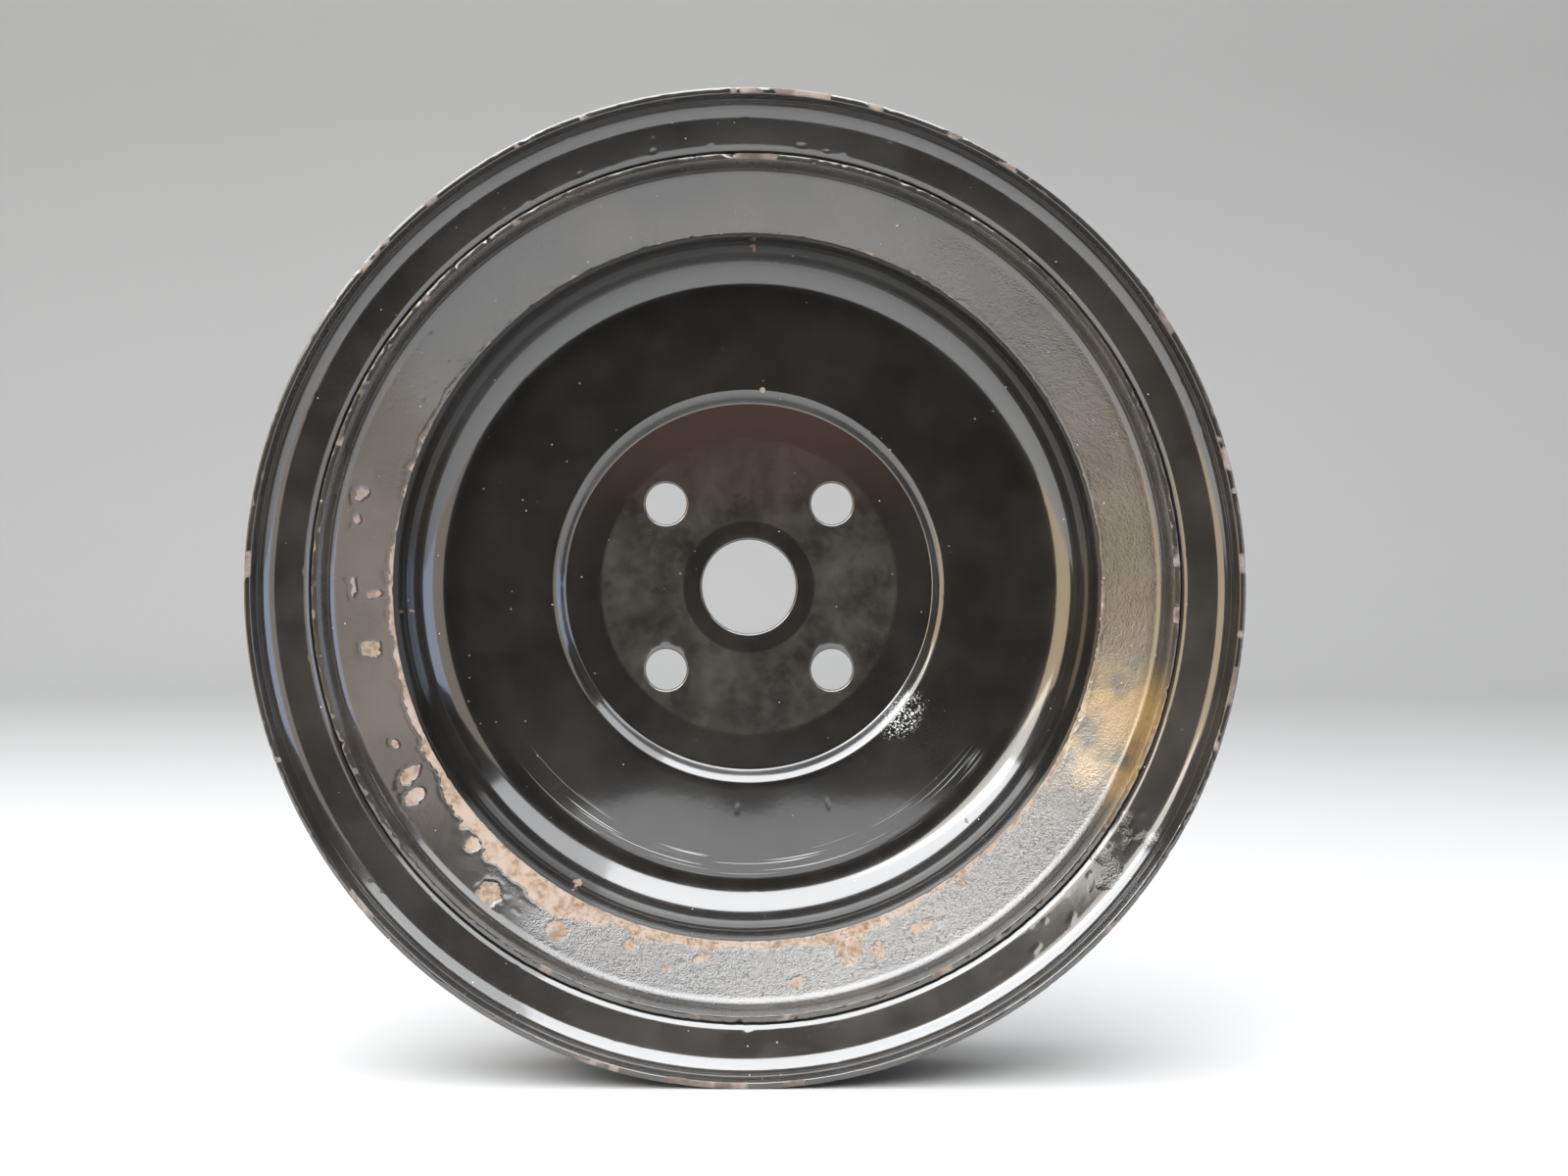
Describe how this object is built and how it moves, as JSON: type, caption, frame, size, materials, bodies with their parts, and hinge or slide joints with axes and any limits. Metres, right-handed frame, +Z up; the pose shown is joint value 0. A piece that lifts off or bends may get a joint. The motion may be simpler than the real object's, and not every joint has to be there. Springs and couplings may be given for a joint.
{
  "type": "v-belt pulley",
  "caption": "Pressed-steel single-groove V-belt pulley with a deep hub cup, bolted through its hub to a pump or fan flange.",
  "frame": {"origin": "centre of the bore on the hub's rear face, the face that seats on the pump's flange", "axes": "+Y along the pulley's axis, from the open rear side towards the hub's nose; +Z up with the bolt holes at 45 degrees to it; +X completes a right-handed frame"},
  "size_m": [0.154, 0.037, 0.154],
  "materials": {
    "hub_cup": "gloss black paint over pitted pressed steel, rusty at the cut edges",
    "rear_flange": "gloss black paint over pitted pressed steel, rusty at the cut edges",
    "support_ring": "worn gloss black paint over deeply pitted pressed steel, orange rust at its inner edge"
  },
  "bodies": {
    "root": {"hub_cup": "hub_cup", "rear_flange": "rear_flange", "support_ring": "support_ring"}
  },
  "joints": []
}
